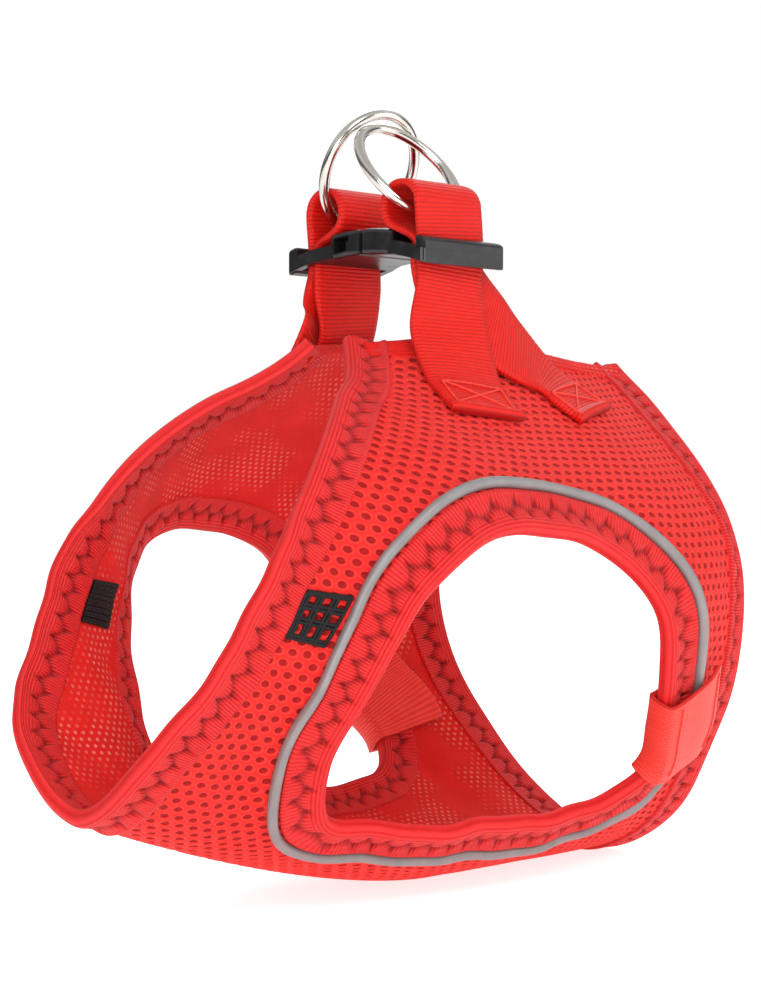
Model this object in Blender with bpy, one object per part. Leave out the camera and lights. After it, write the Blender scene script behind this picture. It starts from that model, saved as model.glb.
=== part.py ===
"""Small dog's step-in mesh harness vest, closed in its worn shape.

Frame: +X toward the tail, near flank at -Y, far flank at +Y, +Z up toward the
back. The far flank is the fixed half; the near flank, its strap, ring and
buckle plug swing about a line along the belly. Lengths below are millimetres.
"""
import math

import bmesh
import bpy
from mathutils import Matrix, Vector

# ---- overall shape of the worn vest
SIDE_MID = 56.0          # half width at the ribs
SIDE_FRONT = 32.0        # half width at the neck
SIDE_REAR = 43.0         # half width at the waist
BACK_Z = 119.5           # height of the two top edges
CHEST_RISE = 22.0        # how far the chest climbs toward the neck
TOP_GAP = 10.0           # how far the straps spread the top edges, each side
TOP_TURN = 7.0           # the same as an angle of the top edge

# ---- cloth
MESH_IN = 0.15           # outer mesh, inner face above the middle surface
MESH_OUT = 1.45
LINING_IN = -0.85
LINING_OUT = -0.15
BINDING_W = 9.5          # width of the folded edge binding
BINDING_OUT = 1.9
BINDING_IN = -1.3
EDGE_INSET = BINDING_W + 0.6     # where the cloth starts beside its binding
SEAM_GAP = 0.2           # half gap between the flanks along the belly
PIPING_W = 2.2
PIPING_BASE = 2.1
PIPING_TOP = 3.2
HINGE_Z = -2.6           # height of the line the near flank swings about

# ---- webbing
WEB_W = 20.0
WEB_T = 1.3
STRAP_X = 17.0           # where both straps pass the buckle
LOOP_Y = 11.5            # distance of each ring pivot from the middle
LOOP_Z = 144.8
LOOP_R = 4.4             # clear radius inside the webbing loop

# ---- rings
RING_OD = 28.5
RING_WIRE = 2.3
RING_DROP = 10.7         # ring centre to its pivot in the loop
NEAR_LEAN = 38.0         # resting lean of the rings toward the middle, degrees
FAR_LEAN = 24.0

# ---- buckle
BUCKLE_W = 22.0
BUCKLE_BAR_L = 26.0
BUCKLE_Z = 137.8
BUCKLE_T = 5.6
SLOT_Y = 13.2            # inner side of each webbing slot
BAR_Y = 18.0             # inner side of each end bar

# which way is into the cloth when walking along each edge
OUT_OF_LEG = -1.0
FROM_NECK = 1.0
FROM_REAR = 1.0

# edges of one flank as (x, angle from straight down), counted along each edge
NECK_EDGE = [(-4, 175), (-13, 162), (-22, 152), (-36, 129), (-48, 102), (-55, 78),
             (-60, 60), (-65, 46), (-69, 33), (-71, 18), (-71, 0.5)]
REAR_EDGE = [(91, 0.5), (90, 20), (86, 40), (83, 57), (81, 75), (80, 96), (81, 120),
             (84, 142), (88, 162), (88, 175)]
LEG_FRONT = [(9, 105), (-8, 104), (-20, 92), (-25, 76), (-28, 58), (-30, 40), (-25, 27)]
LEG_BOTTOM = [(-25, 27), (-12, 31), (8, 35), (30, 36), (46, 39), (53, 49)]
LEG_REAR = [(53, 49), (49, 60), (42, 76), (37, 90), (25, 101)]
LEG_TOP = [(25, 101), (9, 105)]
COUNT_FRONT, COUNT_BOTTOM, COUNT_REAR, COUNT_TOP = 18, 14, 14, 6

RED_MESH = (0.80, 0.06, 0.05, 1.0)
RED_LINING = (0.62, 0.04, 0.03, 1.0)
RED_BINDING = (0.60, 0.03, 0.04, 1.0)
RED_WEB = (0.75, 0.04, 0.02, 1.0)
SALMON = (0.85, 0.12, 0.09, 1.0)
GREY = (0.32, 0.31, 0.31, 1.0)
BLACK = (0.012, 0.012, 0.013, 1.0)
STEEL = (0.70, 0.69, 0.67, 1.0)


def clear_scene():
    """Remove everything from the start-up scene."""
    for obj in list(bpy.data.objects):
        bpy.data.objects.remove(obj, do_unlink=True)


def material(name, colour, metallic=0.0, roughness=0.7):
    """Return a Principled material."""
    mat = bpy.data.materials.new(name)
    mat.use_nodes = True
    shader = mat.node_tree.nodes["Principled BSDF"]
    shader.inputs["Base Color"].default_value = colour
    shader.inputs["Metallic"].default_value = metallic
    shader.inputs["Roughness"].default_value = roughness
    mat.diffuse_color = colour
    return mat


def ease(t):
    """Smooth step from 0 to 1."""
    t = min(max(t, 0.0), 1.0)
    return t * t * (3.0 - 2.0 * t)


def section(x):
    """Half width, middle height and half height of the body at x."""
    side = SIDE_MID - (SIDE_MID - SIDE_FRONT) * ease((1.0 - x) / 48.0)
    side -= (SIDE_MID - SIDE_REAR) * ease((x - 46.0) / 48.0)
    low = CHEST_RISE * min(max((20.0 - x) / 91.0, 0.0), 1.1) ** 1.5
    return side, 0.5 * (BACK_Z + low), 0.5 * (BACK_Z - low)


def spread(x):
    """Share of the full spread of the top edges at x, largest under the straps."""
    return ease((x + 12.0) / 28.0) * (1.0 - ease((x - 30.0) / 50.0))


def on_body(x, angle):
    """Point of the middle surface of the near flank."""
    side, mid, half = section(x)
    gap = TOP_GAP * spread(x)
    a = math.radians(angle)
    dy, dz = abs(math.sin(a)), -math.cos(a)
    inner, outer = 0.0, half / max(abs(dz), 1e-9)
    outer = min(outer, 2.0 * SIDE_MID)
    for _ in range(28):
        r = 0.5 * (inner + outer)
        w = min(1.0, abs(r * dz / half))
        power = 0.91 + (0.55 if dz > 0.0 else -0.29) * ease(w)
        top = gap * ease((w - 0.55) / 0.45) if dz > 0.0 else 0.0
        if r * dy < side * (1.0 - w * w) ** power + top:
            inner = r
        else:
            outer = r
    return Vector((x, -r * math.sin(a), mid + r * dz))


def body_normal(x, angle):
    """Outward normal of the middle surface."""
    along = on_body(x + 1.0, angle) - on_body(x - 1.0, angle)
    around = on_body(x, angle + 1.0) - on_body(x, angle - 1.0)
    n = around.cross(along).normalized()
    out = on_body(x, angle) - Vector((x, 0.0, section(x)[1]))
    return n if n.dot(out) > 0.0 else -n


def at_height(x, z):
    """Spot at a given height on the upper part of the flank."""
    low, high = 90.0, 180.0
    for _ in range(24):
        angle = 0.5 * (low + high)
        if on_body(x, angle).z < z:
            low = angle
        else:
            high = angle
    return (x, angle)


def offset(spot, d):
    """Point at distance d outside the middle surface."""
    return on_body(*spot) + body_normal(*spot) * d


def to_spot(p):
    """Surface coordinates of a point close to the near flank."""
    mid = section(p.x)[1]
    return (p.x, math.degrees(math.atan2(-p.y, mid - p.z)))


def curve_through(ctrl, count, closed=False):
    """Evenly spaced surface spots along a smooth curve through the controls."""
    pts = [Vector(c) for c in ctrl]
    if closed:
        pts = [pts[-1]] + pts + [pts[0], pts[1]]
    else:
        pts = [pts[0] * 2.0 - pts[1]] + pts + [pts[-1] * 2.0 - pts[-2]]
    fine = []
    for i in range(1, len(pts) - 2):
        a, b, c, d = pts[i - 1:i + 3]
        for k in range(12):
            t = k / 12.0
            fine.append(0.5 * (2.0 * b + (c - a) * t + (2.0 * a - 5.0 * b + 4.0 * c - d) * t ** 2
                               + (3.0 * b - a - 3.0 * c + d) * t ** 3))
    fine.append(pts[-2])
    space = [on_body(*p) for p in fine]
    run = [0.0]
    for p, q in zip(space, space[1:]):
        run.append(run[-1] + (q - p).length)
    out = []
    k = 0
    for i in range(count + 1):
        goal = run[-1] * i / count
        while k < len(run) - 2 and run[k + 1] < goal:
            k += 1
        t = (goal - run[k]) / max(run[k + 1] - run[k], 1e-9)
        p = fine[k].lerp(fine[k + 1], t)
        out.append((p.x, p.y))
    return out


def leg_loop():
    """Spots around the leg hole, starting at its top front."""
    ctrl = LEG_FRONT + LEG_BOTTOM[1:] + LEG_REAR[1:]
    whole = curve_through(ctrl, 600, closed=True)
    out = []
    marks = [LEG_FRONT[0], LEG_BOTTOM[0], LEG_REAR[0], LEG_TOP[0]]
    near = []
    for m in marks:
        near.append(min(range(600), key=lambda i: (on_body(*whole[i]) - on_body(*m)).length))
    near.append(600)
    for start, end, n in zip(near, near[1:], (COUNT_FRONT, COUNT_BOTTOM, COUNT_REAR, COUNT_TOP)):
        for i in range(n):
            out.append(whole[int(round(start + (end - start) * i / n)) % 600])
    return out


def shifted(spots, s, side, closed):
    """Move a run of spots sideways across the surface by s millimetres."""
    out = []
    n = len(spots)
    for i, spot in enumerate(spots):
        a = spots[(i - 1) % n] if closed or i > 0 else spots[i]
        b = spots[(i + 1) % n] if closed or i < n - 1 else spots[i]
        along = (on_body(*b) - on_body(*a)).normalized()
        across = body_normal(*spot).cross(along).normalized() * side
        out.append(to_spot(on_body(*spot) + across * s))
    return out


def finish(name, bm, mat, smooth=False, far=False):
    """Turn a bmesh in millimetres into a named object in metres."""
    scale = Matrix.Diagonal((0.001, -0.001 if far else 0.001, 0.001, 1.0))
    bmesh.ops.transform(bm, matrix=scale, verts=bm.verts)
    bmesh.ops.remove_doubles(bm, verts=bm.verts, dist=1e-6)
    bmesh.ops.recalc_face_normals(bm, faces=bm.faces)
    if bm.calc_volume(signed=True) < 0.0:
        bmesh.ops.reverse_faces(bm, faces=bm.faces)
    mesh = bpy.data.meshes.new(name)
    bm.to_mesh(mesh)
    bm.free()
    mesh.materials.append(mat)
    for poly in mesh.polygons:
        poly.use_smooth = smooth
    obj = bpy.data.objects.new(name, mesh)
    bpy.context.scene.collection.objects.link(obj)
    return obj


def loft(bm, rings, closed):
    """Skin matching rings of points; the ends are capped unless closed."""
    rows = [[bm.verts.new(p) for p in ring] for ring in rings]
    n = len(rows[0])
    last = len(rows) if closed else len(rows) - 1
    for i in range(last):
        a, b = rows[i], rows[(i + 1) % len(rows)]
        for k in range(n):
            bm.faces.new((a[k], a[(k + 1) % n], b[(k + 1) % n], b[k]))
    if not closed:
        bm.faces.new(rows[0])
        bm.faces.new(list(reversed(rows[-1])))


def keep_to_side(bm):
    """Stop a piece of the near flank just short of the middle plane."""
    for v in bm.verts:
        v.co.y = min(v.co.y, -SEAM_GAP)


def edge_strip(name, spots, profile, side, closed, mat, far):
    """Sweep a profile of (distance from the edge, height) along an edge."""
    shifts = sorted({s for s, _ in profile})
    table = {s: shifted(spots, s, side, closed) for s in shifts}
    rings = []
    for i in range(len(spots)):
        rings.append([offset(table[s][i], d) for s, d in profile])
    bm = bmesh.new()
    loft(bm, rings, closed)
    keep_to_side(bm)
    return finish(name, bm, mat, False, far)


def folded(width):
    """Profile of a folded binding, rounded where it wraps the edge."""
    return [(width, BINDING_OUT), (1.0, BINDING_OUT), (0.0, 1.0), (0.0, -0.4),
            (1.0, BINDING_IN), (width, BINDING_IN)]


def panel(name, low, high, mat, far):
    """Cloth of one flank, a sheet with the leg hole through it."""
    leg = shifted(leg_loop(), EDGE_INSET, OUT_OF_LEG, True)
    neck = shifted(curve_through(NECK_EDGE, COUNT_FRONT), EDGE_INSET, FROM_NECK, False)
    rear = shifted(curve_through(REAR_EDGE, COUNT_REAR), EDGE_INSET, FROM_REAR, False)
    neck[-1] = (neck[-1][0], belly_angle(neck[-1][0]))
    rear[0] = (rear[0][0], belly_angle(rear[0][0]))
    outer = neck[:-1]
    for i in range(COUNT_BOTTOM):
        x = neck[-1][0] + (rear[0][0] - neck[-1][0]) * i / COUNT_BOTTOM
        outer.append((x, belly_angle(x)))
    outer += rear[:-1]
    for i in range(COUNT_TOP):
        x = rear[-1][0] + (neck[0][0] - rear[-1][0]) * i / COUNT_TOP
        level = rear[-1][1] + (neck[0][1] - rear[-1][1]) * i / COUNT_TOP
        outer.append((x, level - TOP_TURN * spread(x)))
    steps = 5
    spots = []
    for i in range(len(leg)):
        row = []
        for k in range(steps + 1):
            t = k / steps
            row.append(tuple(leg[i][c] * (1.0 - t) + outer[i][c] * t for c in (0, 1)))
        spots.append(row)
    bm = bmesh.new()
    sheet(bm, spots, low, high)
    keep_to_side(bm)
    return finish(name, bm, mat, False, far)


def sheet(bm, spots, low, high):
    """Cloth of even thickness over a closed band of spots, both faces cut alike."""
    top = [[bm.verts.new(offset(q, high)) for q in row] for row in spots]
    under = [[bm.verts.new(offset(q, low)) for q in row] for row in spots]
    n = len(spots)
    last = len(spots[0]) - 1
    for i in range(n):
        j = (i + 1) % n
        for k in range(last):
            for face in (top, under):
                bm.faces.new((face[i][k], face[i][k + 1], face[j][k + 1]))
                bm.faces.new((face[i][k], face[j][k + 1], face[j][k]))
        for k in (0, last):
            bm.faces.new((top[i][k], top[j][k], under[j][k], under[i][k]))


def belly_angle(x):
    """Angle that puts the panel edge just beside the middle line."""
    return math.degrees(math.atan(SEAM_GAP / section(x)[2]))




def binding(name, edge, count, side, mat, far):
    """Folded edge binding along one open edge."""
    spots = curve_through(edge, count)
    return edge_strip(name, spots, folded(BINDING_W), side, False, mat, far)


def leg_binding(name, mat, far):
    """Folded binding around the leg hole."""
    return edge_strip(name, leg_loop(), folded(BINDING_W), OUT_OF_LEG, True, mat, far)


def piping(name, mat, far):
    """Reflective piping just outside the leg binding."""
    start = BINDING_W + 0.6
    profile = [(start, PIPING_BASE), (start, PIPING_TOP - 0.4),
               (start + 0.5 * PIPING_W, PIPING_TOP), (start + PIPING_W, PIPING_TOP - 0.4),
               (start + PIPING_W, PIPING_BASE)]
    return edge_strip(name, leg_loop(), profile, OUT_OF_LEG, True, mat, far)


def keeper(name, mat, far):
    """Webbing patch folded round the narrow strip behind the leg hole."""
    loop = leg_loop()
    first = COUNT_FRONT + COUNT_BOTTOM
    spots = loop[first:first + 6]
    high = PIPING_TOP + 0.4
    low = BINDING_IN - 0.5
    over = [(19.0, high), (19.0, high + 0.9), (12.8, high + 0.9), (6.5, high + 0.9),
            (0.2, high + 0.9), (-1.3, high - 0.8)]
    under = [(-1.3, low + 0.8), (0.2, low - 0.9), (6.5, low - 0.9), (12.8, low - 0.9),
             (19.0, low - 0.9), (19.0, low), (12.8, low), (6.5, low), (0.5, low),
             (-0.4, low + 0.9), (-0.4, high - 0.9), (0.5, high), (6.5, high), (12.8, high)]
    profile = over + under
    return edge_strip(name, spots, profile, OUT_OF_LEG, False, mat, far)


def bartack(name, low, high, mat, far):
    """Dense bar of thread across the strip between neck and leg hole."""
    neck = curve_through(NECK_EDGE, 36)
    spots = shifted(neck, BINDING_W + 0.6, FROM_NECK, False)
    bm = bmesh.new()
    rings = []
    for i in (19, 20, 21):
        x, angle = spots[i]
        run = [(x + 8.5 * k / 3.0, angle) for k in range(4)]
        rings.append([offset(q, high) for q in run] + [offset(q, low) for q in reversed(run)])
    loft(bm, rings, False)
    return finish(name, bm, mat, False, far)


def web_path(far):
    """Centre points and width directions of one webbing loop.

    One leg of each loop drops straight to its flank and the other slants away:
    toward the tail on the near flank, toward the neck on the far one. The
    slanting leg is the inner layer on the near flank and the outer one on the far.
    """
    if far:
        straight = [at_height(18.0, 107.5), at_height(18.5, 102.5), at_height(19.0, 98.0)]
        slanted = [at_height(8.0, 110.0), at_height(4.5, 105.5), at_height(1.0, 101.0)]
        lean = Vector((0.80, -0.08, -0.60))
    else:
        straight = [at_height(15.5, 107.5), at_height(14.5, 102.5), at_height(13.5, 98.0)]
        slanted = [at_height(44.5, 107.4), at_height(47.5, 103.2), at_height(50.5, 99.0)]
        lean = Vector((0.84, 0.14, 0.50))
    lift = MESH_OUT + 0.45 + 0.5 * WEB_T
    slant_lift = (BINDING_OUT if far else MESH_OUT) + 0.45 + 0.5 * WEB_T
    flat = Vector((0.98, -0.18, 0.0))
    inner_y = SLOT_Y + 1.5
    outer_y = inner_y + WEB_T + 0.5
    first_y, last_y = (inner_y, outer_y) if far else (outer_y, inner_y)
    level = Vector((1.0, 0.0, 0.0))
    path = [(offset(spot, lift), flat) for spot in reversed(straight)]
    foot = straight[0][0]
    below = 1.0 if far else 0.6
    path.append((Vector((0.6 * foot + 0.4 * STRAP_X, -first_y - below, 118.0)), flat))
    path.append((Vector((0.2 * foot + 0.8 * STRAP_X, -first_y - 0.3 * below, 127.5)), level))
    path.append((Vector((STRAP_X, -first_y, 133.5)), level))
    path.append((Vector((STRAP_X, -first_y, 138.0)), level))
    radius = LOOP_R + 0.5 * WEB_T
    turns = [math.radians(-5.0 + 232.0 * k / 10.0) for k in range(11)]
    eye = [(-LOOP_Y - radius * math.cos(a), LOOP_Z + radius * math.sin(a)) for a in turns]
    if far:
        eye.reverse()
    path += [(Vector((STRAP_X - 0.6, y, z)), level) for y, z in eye]
    path.append((Vector((STRAP_X, -last_y, 137.6)), level))
    head = offset(slanted[0], slant_lift)
    start = Vector((STRAP_X, -last_y, 133.0))
    turn = Vector((STRAP_X, -last_y, 126.0))
    knee = Vector((STRAP_X + 0.46 * (head.x - STRAP_X), -last_y - 2.2, 120.0))
    facing = body_normal(*slanted[0])
    for k in range(6):
        t = k / 6.0
        p = bezier(start, turn, knee, head, t)
        along = bezier(start, turn, knee, head, t + 0.02) - bezier(start, turn, knee, head, t - 0.02)
        face = Vector((0.0, -1.0, 0.0)).lerp(facing, t * t)
        across = along.cross(face).normalized()
        path.append((p, across if across.x > 0.0 else -across))
    path += [(offset(spot, slant_lift), lean) for spot in slanted]
    return path


def bezier(a, b, c, d, t):
    """Point of a cubic curve."""
    u = 1.0 - t
    return a * u ** 3 + b * (3.0 * u * u * t) + c * (3.0 * u * t * t) + d * t ** 3


def lifted(p, least):
    """Push a point out until it clears the middle surface by a distance."""
    spot = to_spot(p)
    n = body_normal(*spot)
    height = (p - on_body(*spot)).dot(n)
    return p + n * max(0.0, least - height)


def ribbon(name, path, width, thick, mat, far):
    """Flat band along a path with given width directions."""
    rings = []
    n = len(path)
    for i, (p, across) in enumerate(path):
        base = (BINDING_OUT if far and 2 * i > n else MESH_OUT) + 0.45
        a = path[max(i - 1, 0)][0]
        b = path[min(i + 1, n - 1)][0]
        along = (b - a).normalized()
        w = (across - along * across.dot(along)).normalized()
        up = along.cross(w)
        lower = [p + w * (width * t) - up * (0.5 * thick) for t in (-0.5, 0.0, 0.5)]
        if i < 3 or i > n - 4:
            spots = [to_spot(q) for q in lower]
            lower = [offset(q, base) for q in spots]
            upper = [offset(q, base + thick) for q in spots]
            if i < 3:
                lower, upper = upper, lower
        elif p.z < BACK_Z:
            upper = [lifted(q + up * thick, base) for q in lower]
            lower = [lifted(q, base) for q in lower]
            for k in range(3):
                gap = upper[k] - lower[k]
                out = body_normal(*to_spot(lower[k]))
                if gap.dot(out) > 0.0:
                    upper[k] = lower[k] + out * thick
                else:
                    lower[k] = upper[k] + out * thick
        else:
            upper = [q + up * thick for q in lower]
        rings.append(lower + list(reversed(upper)))
    bm = bmesh.new()
    loft(bm, rings, False)
    return finish(name, bm, mat, False, far)


def stitch_frame(name, at, width, height, mat, far):
    """Square of box stitching that holds one webbing end to the mesh."""
    path = web_path(far)
    at %= len(path)
    p, across = path[at]
    q = path[at + 2][0]
    along = (q - p).normalized()
    w = (across - along * across.dot(along)).normalized()
    mid = path[at + 1][0].lerp(path[at if at == 0 else at + 2][0], 0.25)
    base = (BINDING_OUT if far and at > 2 else MESH_OUT) + 0.45
    bm = bmesh.new()
    corners = [(-1, -1), (1, -1), (1, 1), (-1, 1)]
    rings = []
    for k in range(4):
        (ax, ay), (bx, by) = corners[k], corners[(k + 1) % 4]
        for t in (0.0, 0.25, 0.5, 0.75):
            sx, sy = ax + (bx - ax) * t, ay + (by - ay) * t
            outer = to_spot(mid + w * (0.5 * width * sx) + along * (0.5 * height * sy))
            inner = to_spot(mid + w * ((0.5 * width - 0.8) * sx)
                            + along * ((0.5 * height - 0.8) * sy))
            low = base + WEB_T + 0.8
            rings.append([offset(outer, low), offset(outer, low + 0.4),
                          offset(inner, low + 0.4), offset(inner, low)])
    loft(bm, rings, True)
    return finish(name, bm, mat, False, far)


def ring(name, lean, mat, far):
    """Leash ring whose origin is the line it swings about in its loop."""
    bm = bmesh.new()
    rings = []
    radius = 0.5 * (RING_OD - RING_WIRE)
    for i in range(36):
        a = 2.0 * math.pi * i / 36
        out = Vector((math.cos(a), 0.0, math.sin(a)))
        centre = Vector((0.0, 0.0, RING_DROP)) + out * radius
        circle = []
        for k in range(10):
            b = 2.0 * math.pi * k / 10
            side = out * math.cos(b) + Vector((0.0, 1.0, 0.0)) * math.sin(b)
            circle.append(centre + side * (0.5 * RING_WIRE))
        rings.append(circle)
    loft(bm, rings, True)
    bmesh.ops.transform(bm, matrix=Matrix.Rotation(math.radians(-lean), 4, "X"), verts=bm.verts)
    obj = finish(name, bm, mat, True, far)
    y = LOOP_Y if far else -LOOP_Y
    obj.location = Vector((STRAP_X - 0.6, y, LOOP_Z)) * 0.001
    return obj


def box(bm, lo, hi, bevel=0.0):
    """Add a box between two corners, its edges rounded by a bevel."""
    size = [hi[c] - lo[c] for c in range(3)]
    mid = [0.5 * (hi[c] + lo[c]) for c in range(3)]
    matrix = Matrix.Translation(mid) @ Matrix.Diagonal((*size, 1.0))
    made = bmesh.ops.create_cube(bm, size=1.0, matrix=matrix)["verts"]
    if bevel > 0.0:
        edges = list({e for v in made for e in v.link_edges})
        bmesh.ops.bevel(bm, geom=edges, offset=bevel, segments=2, profile=0.5, affect="EDGES")


def arch(y):
    """Drop of the buckle's arched top at distance y from its middle."""
    return 0.008 * y * y


def bow(obj):
    """Slice a finished flat buckle piece across, then bow it down at its ends."""
    bm = bmesh.new()
    bm.from_mesh(obj.data)
    for i in range(-9, 10):
        geom = bm.verts[:] + bm.edges[:] + bm.faces[:]
        bmesh.ops.bisect_plane(bm, geom=geom, plane_co=(0.0, 0.00241 * i, 0.0),
                               plane_no=(0.0, 1.0, 0.0), dist=1e-6)
    bmesh.ops.triangulate(bm, faces=bm.faces)
    for v in bm.verts:
        v.co.z -= 0.001 * arch(1000.0 * v.co.y)
    bm.to_mesh(obj.data)
    bm.free()
    return obj


def cut(target, cutter):
    """Subtract a cutter object from a target object for good."""
    mod = target.modifiers.new("Cut", "BOOLEAN")
    mod.object = cutter
    mod.operation = "DIFFERENCE"
    mod.solver = "EXACT"
    deps = bpy.context.evaluated_depsgraph_get()
    mesh = bpy.data.meshes.new_from_object(target.evaluated_get(deps))
    target.modifiers.clear()
    mesh.name = target.name
    target.data = mesh
    bpy.data.objects.remove(cutter, do_unlink=True)


def plate_ring(y_in):
    """Outline of the rails and end bar, and of the webbing slot inside them."""
    half = 0.5 * BUCKLE_BAR_L
    inner = 11.0
    ys = [y_in, SLOT_Y, BAR_Y, BAR_Y + 2.8]
    outline = [(-0.5 * BUCKLE_W, ys[0]), (0.5 * BUCKLE_W, ys[0]), (half, ys[1] + 0.4),
               (half, ys[3] - 0.8), (half - 0.8, ys[3]), (-half + 0.8, ys[3]),
               (-half, ys[3] - 0.8), (-half, ys[1] + 0.4)]
    hole = [(-inner, ys[1]), (inner, ys[1]), (inner, ys[2]), (-inner, ys[2])]
    return outline, hole


def prism(bm, outline, low, high):
    """Upright prism on an outline in the ground plane."""
    a = [bm.verts.new((STRAP_X + x, y, low)) for x, y in outline]
    b = [bm.verts.new((STRAP_X + x, y, high)) for x, y in outline]
    n = len(outline)
    for i in range(n):
        bm.faces.new((a[i], a[(i + 1) % n], b[(i + 1) % n], b[i]))
    bm.faces.new(list(reversed(a)))
    bm.faces.new(b)


def end_bar(sign, mat):
    """Deep bar that closes the webbing slot at one end of the buckle."""
    y0, y1 = sorted((sign * (BAR_Y + 0.1), sign * (BAR_Y + 2.7)))
    half = 0.5 * BUCKLE_BAR_L - 0.2
    bm = bmesh.new()
    box(bm, (STRAP_X - half, y0, BUCKLE_Z - 2.8), (STRAP_X + half, y1, BUCKLE_Z + 2.8), 0.7)
    return finish("end_bar", bm, mat)


def buckle_socket(mat):
    """Far half of the side-release buckle with its webbing slot."""
    low, high = BUCKLE_Z - 0.5 * BUCKLE_T, BUCKLE_Z + 0.5 * BUCKLE_T
    outline, hole = plate_ring(0.25)
    bm = bmesh.new()
    box(bm, (STRAP_X - 0.5 * BUCKLE_W, 0.25, low), (STRAP_X + 0.5 * BUCKLE_W, 9.2, high), 0.9)
    body = finish("buckle_socket", bm, mat)
    bm = bmesh.new()
    prism(bm, [(x, max(y, 8.4)) for x, y in outline], low + 0.3, high - 2.4)
    join(body, finish("rails", bm, mat))
    join(body, end_bar(1.0, mat))
    bm = bmesh.new()
    prism(bm, hole, low - 6.0, high + 3.0)
    cut(body, finish("slot_cut", bm, mat))
    bm = bmesh.new()
    box(bm, (STRAP_X - 9.2, -2.0, low + 1.2), (STRAP_X + 9.2, 8.2, high - 1.2))
    cut(body, finish("mouth_cut", bm, mat))
    for sign in (-1.0, 1.0):
        bm = bmesh.new()
        x0, x1 = sorted((STRAP_X + sign * 8.0, STRAP_X + sign * 14.0))
        box(bm, (x0, 3.4, low + 1.2), (x1, 7.9, high - 1.2))
        cut(body, finish("window_cut", bm, mat))
    return bow(body)


def join(target, other):
    """Union another object into the target."""
    mod = target.modifiers.new("Join", "BOOLEAN")
    mod.object = other
    mod.operation = "UNION"
    mod.solver = "EXACT"
    deps = bpy.context.evaluated_depsgraph_get()
    mesh = bpy.data.meshes.new_from_object(target.evaluated_get(deps))
    target.modifiers.clear()
    mesh.name = target.name
    target.data = mesh
    bpy.data.objects.remove(other, do_unlink=True)


def buckle_plug(mat):
    """Near half of the buckle: shoulder block, webbing slot and guide tongue."""
    low, high = BUCKLE_Z - 0.5 * BUCKLE_T, BUCKLE_Z + 0.5 * BUCKLE_T
    outline, hole = plate_ring(0.25)
    bm = bmesh.new()
    box(bm, (STRAP_X - 0.5 * BUCKLE_W, -9.2, low),
        (STRAP_X + 0.5 * BUCKLE_W, -0.25, high), 0.9)
    body = finish("buckle_plug", bm, mat)
    bm = bmesh.new()
    prism(bm, [(x, -max(y, 8.4)) for x, y in outline], low + 0.3, high - 2.4)
    join(body, finish("rails", bm, mat))
    join(body, end_bar(-1.0, mat))
    bm = bmesh.new()
    prism(bm, [(x, -y) for x, y in hole], low - 6.0, high + 3.0)
    cut(body, finish("slot_cut", bm, mat))
    for sign in (-1.0, 1.0):
        bm = bmesh.new()
        x0, x1 = sorted((STRAP_X + sign * 3.6, STRAP_X + sign * 9.6))
        box(bm, (x0, -7.4, low + 1.2), (x1, 1.0, high - 1.2))
        cut(body, finish("arm_bay", bm, mat))
    bm = bmesh.new()
    box(bm, (STRAP_X - 2.2, -2.0, low + 2.4), (STRAP_X + 2.2, 7.6, high - 2.4), 0.4)
    join(body, finish("tongue", bm, mat))
    return bow(body)


def latch_arm(name, sign, mat):
    """Springy side arm of the plug, hinged where it meets the shoulder block."""
    outline = [(4.6, -6.9), (6.6, -6.9), (7.4, 1.0), (8.5, 3.6), (8.5, 6.8), (7.0, 7.7),
               (5.4, 7.7), (5.2, 2.0)]
    bm = bmesh.new()
    prism(bm, [(sign * x, y) for x, y in outline], BUCKLE_Z - 1.2, BUCKLE_Z + 1.2)
    obj = bow(finish(name, bm, mat))
    pivot = Vector((STRAP_X + sign * 5.6, -6.4, BUCKLE_Z - arch(6.4))) * 0.001
    obj.data.transform(Matrix.Translation(-pivot))
    obj.location = pivot
    return obj


def build():
    """Make every piece of the vest."""
    clear_scene()
    cloth = material("outer_mesh", RED_MESH, 0.0, 0.75)
    lining = material("lining", RED_LINING, 0.0, 0.8)
    tape = material("binding", RED_BINDING, 0.0, 0.7)
    web = material("webbing", RED_WEB, 0.0, 0.65)
    patch = material("keeper_webbing", SALMON, 0.0, 0.65)
    grey = material("reflective_piping", GREY, 0.0, 0.5)
    thread = material("black_thread", BLACK, 0.0, 0.6)
    red_thread = material("red_thread", RED_WEB, 0.0, 0.6)
    steel = material("nickel_plate", STEEL, 1.0, 0.2)
    plastic = material("buckle_plastic", BLACK, 0.0, 0.35)
    for side, far in (("near", False), ("far", True)):
        panel(side + "_outer_mesh", MESH_IN, MESH_OUT, cloth, far)
        panel(side + "_lining", LINING_IN, LINING_OUT, lining, far)
        binding(side + "_neck_binding", NECK_EDGE, COUNT_FRONT, FROM_NECK, tape, far)
        binding(side + "_rear_binding", REAR_EDGE, COUNT_REAR, FROM_REAR, tape, far)
        leg_binding(side + "_leg_binding", tape, far)
        piping(side + "_reflective_piping", grey, far)
        keeper(side + "_strip_keeper", patch, far)
        bartack(side + "_bartack", MESH_OUT + 0.35, MESH_OUT + 0.85, thread, far)
        bartack(side + "_bartack_back", LINING_IN - 0.85, LINING_IN - 0.35, thread, far)
        ribbon(side + "_strap", web_path(far), WEB_W, WEB_T, web, far)
        stitch_frame(side + "_front_box_stitch", 0, 16.0, 7.5, red_thread, far)
        stitch_frame(side + "_rear_box_stitch", -3, 16.0, 7.5, red_thread, far)
        ring(side + "_leash_ring", FAR_LEAN if far else NEAR_LEAN, steel, far)
    buckle_socket(plastic)
    buckle_plug(plastic)
    latch_arm("front_latch_arm", -1.0, plastic)
    latch_arm("rear_latch_arm", 1.0, plastic)


build()
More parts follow.
